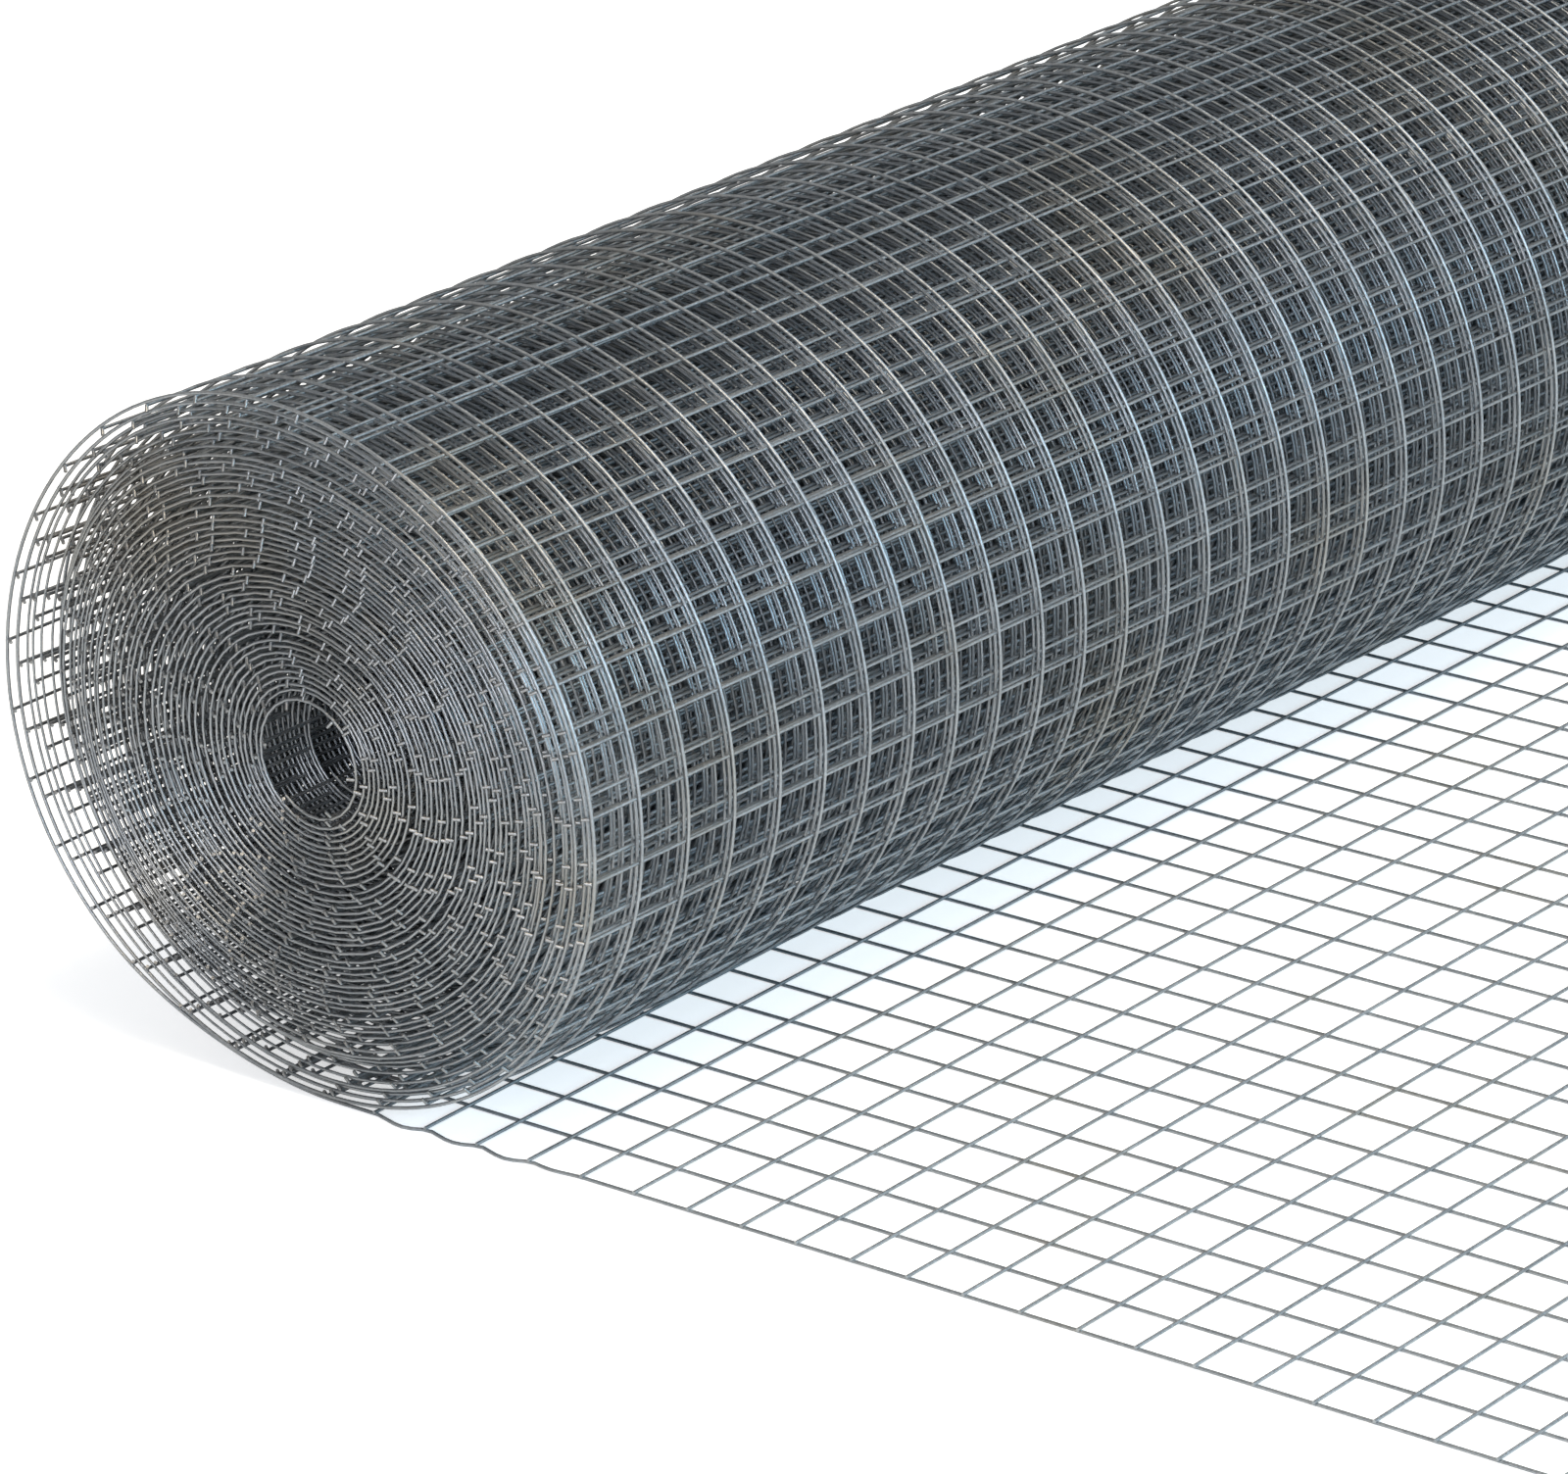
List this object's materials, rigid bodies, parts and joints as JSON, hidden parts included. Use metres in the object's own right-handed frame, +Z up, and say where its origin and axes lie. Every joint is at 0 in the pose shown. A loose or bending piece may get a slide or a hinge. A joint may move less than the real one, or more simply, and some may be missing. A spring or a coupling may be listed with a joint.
{
  "type": "roll of welded wire mesh",
  "caption": "Roll of square welded wire mesh lying on its side, with its free end unrolled flat on the floor.",
  "frame": {"origin": "on the floor, below the middle of the whole object's box", "axes": "+Z up; +Y along the roll's axis, away from the end whose turns are seen; +X the way the free end leaves the roll"},
  "size_m": [0.7177, 0.9404, 0.2788],
  "materials": {
    "galvanised_wire": "satin"
  },
  "bodies": {
    "root": {"mesh_roll": "galvanised_wire", "tail_root": "galvanised_wire", "tail_middle": "galvanised_wire", "tail_end": "galvanised_wire"}
  },
  "joints": []
}
